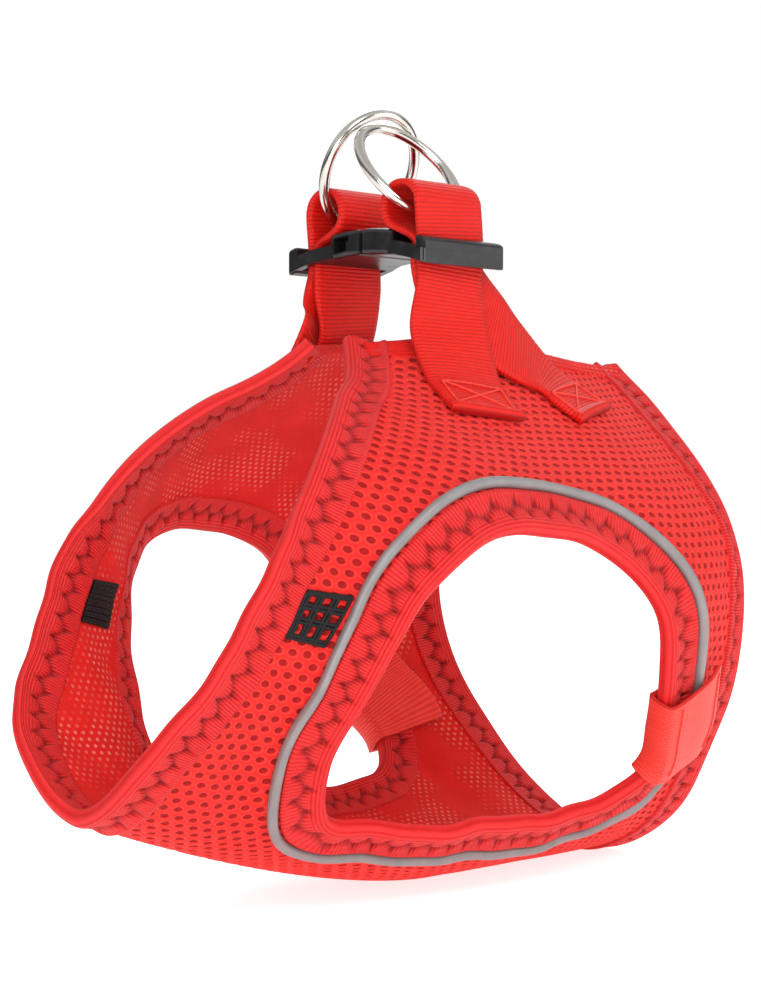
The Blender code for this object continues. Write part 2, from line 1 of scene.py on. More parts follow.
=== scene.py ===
"""Looks of the small dog harness vest: mesh cloth, bindings, webbing, stitching, rings and buckle.

Sizes are millimetres until a mesh is made. +X is the tail, the near flank is at -Y, +Z is up.
"""
import math

import bpy
import numpy as np
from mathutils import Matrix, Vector


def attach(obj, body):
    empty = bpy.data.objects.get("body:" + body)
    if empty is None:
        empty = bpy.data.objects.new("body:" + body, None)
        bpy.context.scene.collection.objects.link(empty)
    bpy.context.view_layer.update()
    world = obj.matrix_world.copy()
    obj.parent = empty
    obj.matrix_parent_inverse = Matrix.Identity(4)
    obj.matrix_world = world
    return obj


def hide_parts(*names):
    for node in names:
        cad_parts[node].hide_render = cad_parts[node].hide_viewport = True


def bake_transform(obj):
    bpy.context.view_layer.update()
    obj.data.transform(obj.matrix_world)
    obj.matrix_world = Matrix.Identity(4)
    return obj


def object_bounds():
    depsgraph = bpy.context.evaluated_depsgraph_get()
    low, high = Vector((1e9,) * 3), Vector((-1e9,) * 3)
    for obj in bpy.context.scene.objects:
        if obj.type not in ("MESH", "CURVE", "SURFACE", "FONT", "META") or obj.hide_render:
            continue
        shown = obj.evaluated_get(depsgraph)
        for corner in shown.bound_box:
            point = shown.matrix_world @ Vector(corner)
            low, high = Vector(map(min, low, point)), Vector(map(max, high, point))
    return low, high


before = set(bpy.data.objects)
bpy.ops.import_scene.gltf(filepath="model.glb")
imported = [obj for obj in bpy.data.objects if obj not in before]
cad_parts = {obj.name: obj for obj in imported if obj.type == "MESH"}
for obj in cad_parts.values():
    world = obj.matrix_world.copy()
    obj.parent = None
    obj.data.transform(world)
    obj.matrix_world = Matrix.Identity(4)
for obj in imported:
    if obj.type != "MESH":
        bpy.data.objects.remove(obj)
CAD_BOX = [list(map(float, corner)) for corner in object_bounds()]

MM = 0.001

# worn shape of the vest, as in the CAD
SIDE_MID = 56.0
SIDE_FRONT = 32.0
SIDE_REAR = 43.0
BACK_Z = 119.5
CHEST_RISE = 22.0
TOP_GAP = 10.0           # how far the straps spread the top edges, each side
TOP_TURN = 7.0           # the same as an angle of the top edge

# layers, measured out from the middle surface
MESH_OUT = 1.45
LINING_IN = -0.85
BINDING_W = 9.5
BINDING_OUT = 1.9
BINDING_IN = -1.3
PIPING_W = 2.2
PIPING_BASE = 2.1
PIPING_TOP = 3.2
HIDDEN_EDGE = 8.3        # from an edge of the vest to the cloth's cut edge, under the binding

# knit of the outer mesh
HOLE_U = 3.3             # pitch along a row of holes
HOLE_V = 2.3             # from row to row
HOLE_RU = 1.05           # half length of a hole
HOLE_RV = 0.74
HOLE_DEPTH = 0.55

# zigzag stitch of the bindings
ZIG_PITCH = 4.8
ZIG_MID = 5.3
ZIG_AMP = 1.45

# webbing loops and rings
WEB_W = 20.0
WEB_T = 1.3
RIB = 0.85               # pitch of the crosswise ribs
STRAP_X = 17.0
LOOP_Y = 11.5
LOOP_Z = 144.8
LOOP_R = 4.4
RING_OD = 28.5
RING_WIRE = 2.3
RING_DROP = 10.7
NEAR_LEAN = 38.0
FAR_LEAN = 24.0
SLOT_Y = 13.2
RING_X = STRAP_X - 0.6
EDGE_ROUND = 0.45        # rounding of the buckle's moulded edges

# keeper, bartack and sewing thread
KEEPER_W = 19.0          # how far the patch reaches in from the leg hole
KEEPER_T = 0.9
KEEPER_RIB = 0.8
KEEPER_EVEN = 0.6        # how much its ribs run alike instead of fanning out
BARTACK_W = 8.6
BLACK_RADIUS = 0.4
SEAM_STITCH = 1.9        # length of one stitch in the red seams

# floor and camera; the view looks across the near flank from the neck side
FLOOR_DROP = 0.6
FLOOR_HALF = 3.0         # metres
AIM = (0.0125, 0.0, 0.082)
AZIMUTH = -45.5
ELEVATION = 0.3
DISTANCE = 0.495         # metres
LENS = 81.75
SENSOR = 36.0

# edges of a flank: (x, angle from straight down)
NECK_EDGE = [(-4, 175), (-13, 162), (-22, 152), (-36, 129), (-48, 102), (-55, 78),
             (-60, 60), (-65, 46), (-69, 33), (-71, 18), (-71, 0.5)]
REAR_EDGE = [(91, 0.5), (90, 20), (86, 40), (83, 57), (81, 75), (80, 96), (81, 120),
             (84, 142), (88, 162), (88, 175)]
LEG_EDGE = [(9, 105), (-8, 104), (-20, 92), (-25, 76), (-28, 58), (-30, 40), (-25, 27),
            (-12, 31), (8, 35), (30, 36), (46, 39), (53, 49), (49, 60), (42, 76), (37, 90),
            (25, 101)]


# ---------------------------------------------------------------- the worn surface

def ease(t):
    """Smooth step from 0 to 1."""
    t = np.clip(t, 0.0, 1.0)
    return t * t * (3.0 - 2.0 * t)


def section(x):
    """Half width, middle height and half height of the body at x."""
    side = SIDE_MID - (SIDE_MID - SIDE_FRONT) * ease((1.0 - x) / 48.0)
    side = side - (SIDE_MID - SIDE_REAR) * ease((x - 46.0) / 48.0)
    low = CHEST_RISE * np.clip((20.0 - x) / 91.0, 0.0, 1.1) ** 1.5
    return side, 0.5 * (BACK_Z + low), 0.5 * (BACK_Z - low)


def spread(x):
    """Share of the full spread of the top edges at x, largest under the straps."""
    return ease((x + 12.0) / 28.0) * (1.0 - ease((x - 30.0) / 50.0))


def on_body(spots):
    """Points of the middle surface at (x, angle) spots; negative angles lie on the far flank."""
    x, a = spots[..., 0], np.radians(spots[..., 1])
    side, mid, half = section(x)
    gap = TOP_GAP * spread(x)
    dy, dz = np.abs(np.sin(a)), -np.cos(a)
    inner = np.zeros_like(x)
    outer = np.minimum(half / np.maximum(np.abs(dz), 1e-9), 2.0 * SIDE_MID)
    for _ in range(28):
        r = 0.5 * (inner + outer)
        w = np.minimum(1.0, np.abs(r * dz / half))
        power = 0.91 + np.where(dz > 0.0, 0.55, -0.29) * ease(w)
        top = gap * np.where(dz > 0.0, ease((w - 0.55) / 0.45), 0.0)
        inside = r * dy < side * (1.0 - w * w) ** power + top
        inner = np.where(inside, r, inner)
        outer = np.where(inside, outer, r)
    return np.stack([x, -r * np.sin(a), mid + r * dz], axis=-1)


def unit(v):
    """Vectors scaled to length 1."""
    return v / np.maximum(np.linalg.norm(v, axis=-1, keepdims=True), 1e-12)


def normals(spots):
    """Outward normals of the middle surface."""
    dx, da = np.array([1.0, 0.0]), np.array([0.0, 1.0])
    along = on_body(spots + dx) - on_body(spots - dx)
    around = on_body(spots + da) - on_body(spots - da)
    n = unit(np.cross(around, along))
    p = on_body(spots)
    out = p.copy()
    out[..., 0] = 0.0
    out[..., 2] -= section(spots[..., 0])[1]
    return np.where(np.sum(n * out, axis=-1, keepdims=True) > 0.0, n, -n)


def ruffle(spots):
    """Slow waves of the cloth, in millimetres; none along the belly and the straps' feet."""
    x, a = spots[..., 0], np.abs(spots[..., 1])
    wave = 0.45 * np.sin(0.21 * x + 0.05 * a) + 0.35 * np.sin(0.11 * x - 0.13 * a + 1.3)
    wave = wave + 0.2 * np.sin(0.43 * x + 0.19 * a + 0.4)
    return wave * ease(a / 35.0) * ease((128.0 - a) / 30.0)


def place(spots, d):
    """Points at distance d outside the worn surface."""
    return on_body(spots) + normals(spots) * (np.asarray(d) + ruffle(spots))[..., None]


def to_spot(p):
    """Surface coordinates of points close to the surface."""
    mid = section(p[..., 0])[1]
    return np.stack([p[..., 0], np.degrees(np.arctan2(-p[..., 1], mid - p[..., 2]))], axis=-1)


def smooth(ctrl, closed=False, sub=24):
    """Dense curve through the control points."""
    pts = np.array(ctrl, float)
    if closed:
        pts = np.vstack([pts[-1:], pts, pts[:2]])
    else:
        pts = np.vstack([2.0 * pts[0] - pts[1], pts, 2.0 * pts[-1] - pts[-2]])
    t = (np.arange(sub) / sub)[:, None]
    out = []
    for a, b, c, d in zip(pts, pts[1:], pts[2:], pts[3:]):
        out.append(0.5 * (2.0 * b + (c - a) * t + (2.0 * a - 5.0 * b + 4.0 * c - d) * t ** 2
                          + (3.0 * b - a - 3.0 * c + d) * t ** 3))
    if not closed:
        out.append(pts[-2:-1])
    return np.vstack(out)


def spaced(curve, length_of, step, pitch=None):
    """Points along a dense curve at an even step, and the distance run at each.

    length_of gives each point's place in space. With a pitch the run is stretched a little,
    so that it ends on a whole number of pitches.
    """
    space = length_of(curve)
    run = np.concatenate([[0.0], np.cumsum(np.linalg.norm(np.diff(space, axis=0), axis=1))])
    count = max(8, int(round(run[-1] / step)))
    goal = np.linspace(0.0, run[-1], count + 1)
    out = np.stack([np.interp(goal, run, curve[:, c]) for c in range(curve.shape[1])], axis=-1)
    if pitch:
        goal = goal * (round(run[-1] / pitch) * pitch / run[-1])
    return out, goal


def edge_run(ctrl, closed, step, pitch=None):
    """Evenly spaced spots along an edge of a flank."""
    dense = smooth(ctrl, closed)
    if closed:
        dense = np.vstack([dense, dense[:1]])
    return spaced(dense, on_body, step, pitch)


def both_flanks(edge):
    """The edge of the near flank carried on round the far one."""
    near = edge[1:] if edge[0][1] < 1.0 else edge[:-1]
    middle = edge[0] if edge[0][1] < 1.0 else edge[-1]
    near = near if near[0][1] > near[-1][1] else list(reversed(near))
    return near + [(middle[0], 0.0)] + [(x, -a) for x, a in reversed(near)]


def sideways(spots, closed):
    """Unit vectors across a run of spots, in the surface."""
    p = on_body(spots)
    if closed:
        along = np.roll(p[:-1], -1, axis=0) - np.roll(p[:-1], 1, axis=0)
        along = np.vstack([along, along[:1]])
    else:
        along = np.gradient(p, axis=0)
    return unit(np.cross(normals(spots), unit(along)))


def shifted(spots, s, side, closed, even=0.0):
    """A run of spots moved sideways by s; even pulls the directions toward their average."""
    across = sideways(spots, closed)
    across = unit(across * (1.0 - even) + across.mean(axis=0) * even)
    return to_spot(on_body(spots) + across * (s * side))


# ---------------------------------------------------------------- meshes

def build_mesh(name, points, faces, mat, uv=None, seam_shades=None, smooth_shading=True):
    """Mesh object in metres from points in millimetres; uv is one pair per face corner."""
    mesh = bpy.data.meshes.new(name)
    mesh.from_pydata((np.asarray(points) * MM).tolist(), [], faces)
    if uv is not None:
        layer = mesh.uv_layers.new(name="cloth")
        layer.data.foreach_set("uv", np.asarray(uv, np.float32).ravel())
    if seam_shades is not None:
        # painted shade of the zigzag seam, per point
        seam_shade = mesh.attributes.new("seam_shade", "FLOAT", "POINT")
        seam_shade.data.foreach_set("value", np.asarray(seam_shades, np.float32).ravel())
    mesh.polygons.foreach_set("use_smooth", [smooth_shading] * len(mesh.polygons))
    mesh.update()
    obj = bpy.data.objects.new(name, mesh)
    bpy.context.scene.collection.objects.link(obj)
    mesh.materials.append(mat)
    return obj


def volume(points, faces):
    """Signed volume of a closed mesh of quads and caps."""
    total = 0.0
    for face in faces:
        a = points[face[0]]
        for b, c in zip(face[1:], face[2:]):
            total += float(np.dot(a, np.cross(points[b], points[c])))
    return total


def tube_grid(name, points, run, across, mat, closed, seam_shades=None):
    """Closed skin over rings of points; the run is closed on itself or capped at both ends."""
    m, k = points.shape[:2]
    rows = m - 1
    index = np.arange(m * k).reshape(m, k)
    if closed:
        index[-1] = index[0]
        points = points[:-1]
        seam_shades = seam_shades[:-1] if seam_shades is not None else None
    across = np.append(across, across[0])
    i, j = np.meshgrid(np.arange(rows), np.arange(k), indexing="ij")
    i, j = i.ravel(), j.ravel()
    j2 = (j + 1) % k
    quads = np.stack([index[i, j], index[i, j2], index[i + 1, j2], index[i + 1, j]], axis=-1)
    uv = np.stack([np.stack([run[i], across[j]], -1), np.stack([run[i], across[j + 1]], -1),
                   np.stack([run[i + 1], across[j + 1]], -1),
                   np.stack([run[i + 1], across[j]], -1)], axis=1).reshape(-1, 2)
    faces = quads.tolist()
    flat = points.reshape(-1, 3)
    corner = flat[quads]
    total = np.einsum("ij,ij->i", corner[:, 0], np.cross(corner[:, 1], corner[:, 2])).sum()
    total += np.einsum("ij,ij->i", corner[:, 0], np.cross(corner[:, 2], corner[:, 3])).sum()
    if not closed:
        caps = [index[0][::-1].tolist(), index[-1].tolist()]
        faces += caps
        uv = np.vstack([uv, np.zeros((2 * k, 2))])
    obj = build_mesh(name, flat, faces, mat, uv, seam_shades)
    if total < 0.0:
        obj.data.flip_normals()
    return obj


def mirrored(points):
    """Points of the near flank carried to the far one."""
    return points * np.array([1.0, -1.0, 1.0])


def strip(name, spots, run, profile, side, closed, mat, relief=None, far=False, even=0.0):
    """Sweep a closed profile of (distance from the edge, height, face) along an edge.

    face is 1 outside and -1 inside; relief gives the height lost and the painted shade of the seam.
    """
    rings, seam_shades, across = [], [], []
    for s, d, face in profile:
        lost, seam_shade = relief(run, s) if relief else (0.0 * run, 0.0 * run)
        rings.append(place(shifted(spots, s, side, closed, even), d - face * lost))
        seam_shades.append(seam_shade)
        across.append(s if face > 0 else -s)
    points = np.stack(rings, axis=1)
    if far:
        points = mirrored(points)
    return tube_grid(name, points, run, np.array(across), mat, closed, np.stack(seam_shades, axis=1))


# ---------------------------------------------------------------- materials

class Look:
    """A Principled material with a few helpers for its node tree."""

    def __init__(self, name, colour, roughness, metallic=0.0, sheen=0.0):
        self.material = bpy.data.materials.new(name)
        self.material.use_nodes = True
        self.tree = self.material.node_tree
        self.shader = self.tree.nodes["Principled BSDF"]
        self.set("Base Color", (*colour, 1.0))
        self.set("Roughness", roughness)
        self.set("Metallic", metallic)
        self.set("Sheen Weight", sheen)
        self.set("Sheen Roughness", 0.4)
        self.set("Specular IOR Level", 0.5 if metallic or not sheen else 0.28)
        self.material.diffuse_color = (*colour, 1.0)

    def set(self, socket, value):
        self.shader.inputs[socket].default_value = value

    def link(self, a, b):
        self.tree.links.new(a, b)

    def node(self, kind, **inputs):
        new = self.tree.nodes.new(kind)
        for key, value in inputs.items():
            self.feed(new.inputs[key.replace("_", " ")], value)
        return new

    def feed(self, socket, value):
        if isinstance(value, bpy.types.NodeSocket):
            self.link(value, socket)
        else:
            socket.default_value = value

    def maths(self, operation, a, b=0.0, c=None):
        new = self.tree.nodes.new("ShaderNodeMath")
        new.operation = operation
        self.feed(new.inputs[0], a)
        self.feed(new.inputs[1], b)
        if c is not None:
            self.feed(new.inputs[2], c)
        return new.outputs[0]

    def coordinates(self):
        """The cloth's own coordinates, in millimetres."""
        uv = self.node("ShaderNodeUVMap")
        uv.uv_map = "cloth"
        parts = self.node("ShaderNodeSeparateXYZ", Vector=uv.outputs[0])
        return parts.outputs[0], parts.outputs[1], uv.outputs[0]

    def range(self, value, low, high):
        """Smooth step of value from low to high."""
        new = self.node("ShaderNodeMapRange", Value=value, From_Min=low, From_Max=high)
        new.interpolation_type = "SMOOTHSTEP"
        return new.outputs[0]

    def mix(self, factor, a, b):
        new = self.tree.nodes.new("ShaderNodeMix")
        new.data_type = "RGBA"
        self.feed(new.inputs[0], factor)
        self.feed(new.inputs[6], a)
        self.feed(new.inputs[7], b)
        return new.outputs[2]

    def wave(self, value, pitch):
        """Rounded ribs of a pitch, from 0 in the grooves to 1 on the crests."""
        turned = self.maths("MULTIPLY", value, math.pi / pitch)
        return self.maths("ABSOLUTE", self.maths("SINE", turned))

    def noise(self, vector, scale, detail=3.0):
        new = self.node("ShaderNodeTexNoise", Vector=vector, Scale=scale, Detail=detail)
        return new.outputs["Fac"]

    def bump(self, height, depth_mm, strength=1.0):
        new = self.node("ShaderNodeBump", Height=height, Strength=strength,
                        Distance=depth_mm * MM)
        self.link(new.outputs[0], self.shader.inputs["Normal"])

    def colour(self, output):
        self.link(output, self.shader.inputs["Base Color"])


def rgb(r, g, b):
    """Colour from display values 0-255."""
    return tuple(((c / 255.0 + 0.055) / 1.055) ** 2.4 if c > 10 else c / 255.0 / 12.92
                 for c in (r, g, b))


def knit_look():
    """Spacer mesh: staggered oval holes coloured dark, partly the darker layer below and partly
    painted shade in each hole; a painted highlight round each hole's rim; knitted ribs between.
    """
    look = Look("knit", rgb(235, 30, 27), 0.62, sheen=0.08)
    look.set("Sheen Tint", (1.0, 0.55, 0.5, 1.0))
    u, v, uv = look.coordinates()
    row = look.maths("FLOOR", look.maths("DIVIDE", v, HOLE_V))
    stagger = look.maths("MULTIPLY", look.maths("FLOORED_MODULO", row, 2.0), 0.5 * HOLE_U)
    du = look.maths("FLOORED_MODULO", look.maths("ADD", u, stagger), HOLE_U)
    dv = look.maths("FLOORED_MODULO", v, HOLE_V)
    du = look.maths("DIVIDE", look.maths("SUBTRACT", du, 0.5 * HOLE_U), HOLE_RU)
    dv = look.maths("DIVIDE", look.maths("SUBTRACT", dv, 0.5 * HOLE_V), HOLE_RV)
    far = look.maths("SQRT", look.maths("ADD", look.maths("MULTIPLY", du, du),
                                        look.maths("MULTIPLY", dv, dv)))
    blotch = look.noise(uv, 0.16)
    far = look.maths("ADD", far, look.maths("MULTIPLY", look.noise(uv, 1.4), 0.25))
    hole = look.maths("SUBTRACT", 1.0, look.range(far, 0.82, 1.18))
    # rim: painted highlight on the ring round each hole
    rim = look.maths("SUBTRACT", look.range(far, 1.0, 1.2), look.range(far, 1.3, 1.7))
    fine = look.wave(look.maths("ADD", u, look.maths("MULTIPLY", v, 0.5)), 0.42)
    base = look.mix(blotch, (*rgb(228, 22, 20), 1.0), (*rgb(243, 40, 34), 1.0))
    base = look.mix(look.maths("MULTIPLY", rim, 0.4), base, (*rgb(255, 78, 66), 1.0))
    # hole colour: partly the darker layer below, partly painted shade, since the holes are only
    # shallow dents
    hole_shade_tone = look.mix(look.noise(uv, 0.35), (*rgb(140, 4, 8), 1.0), (*rgb(190, 16, 18), 1.0))
    look.colour(look.mix(hole, base, hole_shade_tone))
    height = look.maths("ADD", look.maths("MULTIPLY", fine, 0.3),
                        look.maths("MULTIPLY", look.maths("SUBTRACT", 1.0, hole), 0.7))
    look.bump(height, 0.35, 0.8)
    return look.material


def lining_look():
    """Smooth inner knit with small pin holes, coloured lighter in patches as painted light shining
    through them.
    """
    look = Look("lining_knit", rgb(222, 22, 18), 0.72, sheen=0.06)
    look.set("Sheen Tint", (1.0, 0.5, 0.45, 1.0))
    u, v, uv = look.coordinates()
    pitch_u, pitch_v = 1.9, 1.5
    row = look.maths("FLOOR", look.maths("DIVIDE", v, pitch_v))
    stagger = look.maths("MULTIPLY", look.maths("FLOORED_MODULO", row, 2.0), 0.5 * pitch_u)
    du = look.maths("FLOORED_MODULO", look.maths("ADD", u, stagger), pitch_u)
    dv = look.maths("FLOORED_MODULO", v, pitch_v)
    du = look.maths("SUBTRACT", du, 0.5 * pitch_u)
    dv = look.maths("SUBTRACT", dv, 0.5 * pitch_v)
    far = look.maths("SQRT", look.maths("ADD", look.maths("MULTIPLY", du, du),
                                        look.maths("MULTIPLY", dv, dv)))
    pin = look.maths("SUBTRACT", 1.0, look.range(far, 0.28, 0.5))
    patch = look.range(look.noise(uv, 0.07), 0.42, 0.62)
    base = look.mix(look.noise(uv, 0.12), (*rgb(205, 14, 12), 1.0), (*rgb(238, 34, 26), 1.0))
    # painted light: pin holes lighter in patches, as light shining through from outside
    look.colour(look.mix(look.maths("MULTIPLY", pin, look.maths("MULTIPLY", patch, 0.75)), base,
                         (*rgb(236, 138, 122), 1.0)))
    height = look.maths("SUBTRACT", look.wave(u, 0.5), look.maths("MULTIPLY", pin, 0.8))
    look.bump(height, 0.15, 0.5)
    return look.material


def binding_look():
    """Ribbed edge tape: long ribs by the fold, fine cross ribs inside, rib crests painted lighter
    as highlight, painted shade in the zigzag seam's groove.
    """
    look = Look("binding_tape", rgb(228, 22, 26), 0.58, sheen=0.08)
    look.set("Sheen Tint", (1.0, 0.5, 0.5, 1.0))
    u, v, uv = look.coordinates()
    s = look.maths("ABSOLUTE", v)
    seam_shade = look.node("ShaderNodeAttribute")
    seam_shade.attribute_name = "seam_shade"
    dark = seam_shade.outputs["Fac"]
    outer = look.maths("SUBTRACT", 1.0, look.range(s, 3.2, 3.9))
    long_ribs = look.wave(s, 0.82)
    cross_ribs = look.wave(u, 0.62)
    ribs = look.maths("ADD", look.maths("MULTIPLY", long_ribs, outer),
                      look.maths("MULTIPLY", cross_ribs, look.maths("SUBTRACT", 1.0, outer)))
    base = look.mix(look.noise(uv, 0.2), (*rgb(196, 10, 16), 1.0), (*rgb(222, 22, 26), 1.0))
    # painted highlight on the rib crests, the grooves left darker as painted shade
    base = look.mix(look.maths("MULTIPLY", ribs, 0.5), base, (*rgb(252, 62, 60), 1.0))
    # painted shade in the zigzag seam's groove and its pits at the turns
    look.colour(look.mix(look.maths("MULTIPLY", dark, 0.85), base, (*rgb(110, 2, 8), 1.0)))
    fuzz = look.noise(uv, 2.6)
    look.bump(look.maths("ADD", ribs, look.maths("MULTIPLY", fuzz, 0.5)), 0.24, 0.9)
    return look.material


def web_look(name, low, high, pitch=RIB):
    """Woven strap: crosswise ribs crossed by fine warp threads, crests painted lighter and grooves
    darker as painted shade.
    """
    look = Look(name, high, 0.5, sheen=0.08)
    look.set("Sheen Tint", (1.0, 0.55, 0.45, 1.0))
    u, v, uv = look.coordinates()
    row = look.maths("FLOOR", look.maths("DIVIDE", u, pitch))
    shift = look.maths("MULTIPLY", look.maths("FLOORED_MODULO", row, 2.0), 0.35)
    ribs = look.wave(u, pitch)
    warp = look.wave(look.maths("ADD", v, shift), 0.7)
    body = look.maths("ADD", look.maths("MULTIPLY", ribs, 0.65), look.maths("MULTIPLY", warp, 0.35))
    # painted shade: crests lighter and grooves darker, with random tone on top
    shade = look.maths("MULTIPLY", body, look.maths("ADD", 0.72, look.maths(
        "MULTIPLY", look.noise(uv, 0.3), 0.5)))
    look.colour(look.mix(shade, (*low, 1.0), (*high, 1.0)))
    look.bump(look.maths("ADD", body, look.maths("MULTIPLY", look.noise(uv, 3.0), 0.3)), 0.16, 0.7)
    return look.material


def piping_look():
    """Grey retro-reflective piping with a fine glass-bead grain."""
    look = Look("piping", rgb(136, 132, 132), 0.42, metallic=0.25)
    u, _, uv = look.coordinates()
    grain = look.noise(uv, 5.0)
    tone = look.mix(look.noise(uv, 0.25), (*rgb(116, 113, 113), 1.0), (*rgb(154, 150, 150), 1.0))
    look.colour(look.mix(look.maths("MULTIPLY", grain, 0.3), tone, (*rgb(178, 174, 173), 1.0)))
    look.bump(look.maths("ADD", grain, look.maths("MULTIPLY", look.wave(u, 0.7), 0.4)), 0.06, 0.6)
    return look.material


def thread_look(name, colour, shine):
    """Sewing thread, twisted, its twist crests painted lighter as highlight."""
    look = Look(name, colour, shine, sheen=0.06 if max(colour) > 0.02 else 0.001)
    u, v, _ = look.coordinates()
    twist = look.wave(look.maths("ADD", u, v), 0.35)
    # painted highlight on the twist's crests
    light = tuple(min(1.0, 1.6 * c + 0.01) for c in colour)
    look.colour(look.mix(twist, (*colour, 1.0), (*light, 1.0)))
    look.bump(twist, 0.06, 0.7)
    return look.material


def plated_look():
    """Polished nickel wire with faint drawing marks."""
    look = Look("nickel", rgb(214, 210, 202), 0.13, metallic=1.0)
    uv = look.coordinates()[2]
    cloud = look.noise(uv, 0.35)
    look.colour(look.mix(cloud, (*rgb(196, 190, 180), 1.0), (*rgb(232, 229, 224), 1.0)))
    look.link(look.node("ShaderNodeMapRange", Value=look.noise(uv, 1.2), To_Min=0.08,
                        To_Max=0.24).outputs[0], look.shader.inputs["Roughness"])
    look.bump(look.noise(uv, 2.0), 0.02, 0.3)
    return look.material


def plastic_look():
    """Black moulded acetal with a fine satin grain and rubbed edges."""
    look = Look("buckle_black", rgb(18, 18, 19), 0.3)
    place_node = look.node("ShaderNodeTexCoord")
    here = place_node.outputs["Object"]
    grain = look.noise(here, 2600.0, 2.0)
    wear = look.range(look.noise(here, 240.0), 0.45, 0.75)
    look.colour(look.mix(wear, (*rgb(16, 16, 17), 1.0), (*rgb(40, 39, 41), 1.0)))
    look.link(look.node("ShaderNodeMapRange", Value=grain, To_Min=0.24,
                        To_Max=0.42).outputs[0], look.shader.inputs["Roughness"])
    look.bump(grain, 0.03, 0.4)
    return look.material


KNIT = knit_look()
LINING = lining_look()
TAPE = binding_look()
WEB = web_look("webbing", rgb(176, 7, 4), rgb(238, 26, 11))
SALMON = web_look("keeper_web", rgb(214, 38, 32), rgb(255, 76, 64), 0.8)
PIPING = piping_look()
RED_THREAD = thread_look("red_thread", rgb(226, 52, 38), 0.4)
BLACK_THREAD = thread_look("black_thread", rgb(9, 8, 10), 0.6)
NICKEL = plated_look()
PLASTIC = plastic_look()


# ---------------------------------------------------------------- the cloth

def girth_grid(step_u, step_v, d, name, mat, relief=None):
    """Cloth of both flanks in one sheet, from the near top edge round the belly to the far one."""
    cols = np.arange(-78.0, 96.0, step_u)
    angles = np.linspace(0.0, 175.0, 240)
    spots = np.stack(np.meshgrid(cols, angles, indexing="ij"), axis=-1)
    p = on_body(spots)
    arc = np.concatenate([np.zeros((len(cols), 1)), np.cumsum(
        np.linalg.norm(np.diff(p, axis=1), axis=2), axis=1)], axis=1)
    rows = np.arange(0.0, arc[:, -1].max() + step_v, step_v)
    half = np.stack([np.interp(rows, arc[i], angles) for i in range(len(cols))])
    angle = np.concatenate([-half[:, :0:-1], half], axis=1)
    x = np.repeat(cols[:, None], angle.shape[1], axis=1)
    spots = np.stack([x, angle], axis=-1)
    waist = on_body(np.stack([cols, np.full(cols.shape, 90.0)], axis=-1))
    u = np.concatenate([[0.0], np.cumsum(np.linalg.norm(np.diff(waist, axis=0), axis=1))])
    v = np.concatenate([rows[:0:-1], rows])
    at_side = np.array([np.interp(90.0, angles, arc[i]) for i in range(len(cols))])
    uv = np.stack([np.repeat(u[:, None], angle.shape[1], axis=1),
                   v[None, :] - at_side[:, None]], axis=-1)
    keep = inside_cloth(spots)
    height = d - (relief(uv[..., 0], uv[..., 1]) if relief else 0.0)
    points = place(spots, height * np.ones(angle.shape))
    m, k = angle.shape
    index = np.arange(m * k).reshape(m, k)
    quads = np.stack([index[:-1, :-1], index[1:, :-1], index[1:, 1:], index[:-1, 1:]], axis=-1)
    whole = keep[:-1, :-1] & keep[1:, :-1] & keep[1:, 1:] & keep[:-1, 1:]
    stretched = np.abs(np.diff(angle, axis=1))
    whole &= (stretched[:-1] > 1e-4) & (stretched[1:] > 1e-4)
    quads = quads[whole]
    used, new = np.unique(quads, return_inverse=True)
    quads = new.reshape(quads.shape)
    flat_uv = uv.reshape(-1, 2)[used]
    obj = build_mesh(name, points.reshape(-1, 3)[used], quads.tolist(), mat,
                     flat_uv[quads.ravel()])
    return obj


def inside_polygon(spots, outline):
    """Which spots lie inside a closed outline in (x, angle)."""
    x, a = spots[..., 0], spots[..., 1]
    hit = np.zeros(x.shape, bool)
    ends = np.vstack([outline, outline[:1]])
    for (x0, a0), (x1, a1) in zip(ends, ends[1:]):
        if a0 == a1:
            continue
        crosses = (a0 > a) != (a1 > a)
        hit ^= crosses & (x < (x1 - x0) * (a - a0) / (a1 - a0) + x0)
    return hit


def top_edge(xs, angle):
    """Spots along the near flank's top edge."""
    return np.stack([xs, angle - TOP_TURN * spread(xs)], axis=-1)


def mirrored_spots(spots):
    """The same spots on the other flank."""
    return spots * np.array([1.0, -1.0])


def inside_cloth(spots):
    """Which spots belong to the cloth, its cut edges hidden inside the bindings."""
    neck, _ = edge_run(both_flanks(NECK_EDGE), False, 2.0)
    rear, _ = edge_run(both_flanks(REAR_EDGE), False, 2.0)
    neck = shifted(neck, HIDDEN_EDGE, 1.0, False)
    rear = shifted(rear, HIDDEN_EDGE, -1.0, False)
    top = top_edge(np.linspace(neck[0][0], rear[0][0], 30)[1:-1], 175.0)
    outline = np.vstack([neck, mirrored_spots(top), rear[::-1], top[::-1]])
    leg, _ = edge_run(LEG_EDGE, True, 2.0)
    leg = shifted(leg, HIDDEN_EDGE, -1.0, True)[:-1]
    folded = np.stack([spots[..., 0], np.abs(spots[..., 1])], axis=-1)
    return inside_polygon(spots, outline) & ~inside_polygon(folded, leg)


def knit_relief(u, v):
    """Depth of the knitted holes."""
    row = np.floor(v / HOLE_V)
    du = np.mod(u + np.mod(row, 2.0) * 0.5 * HOLE_U, HOLE_U) - 0.5 * HOLE_U
    dv = np.mod(v, HOLE_V) - 0.5 * HOLE_V
    far = np.sqrt((du / HOLE_RU) ** 2 + (dv / HOLE_RV) ** 2)
    return HOLE_DEPTH * (1.0 - ease((far - 0.55) / 0.75))


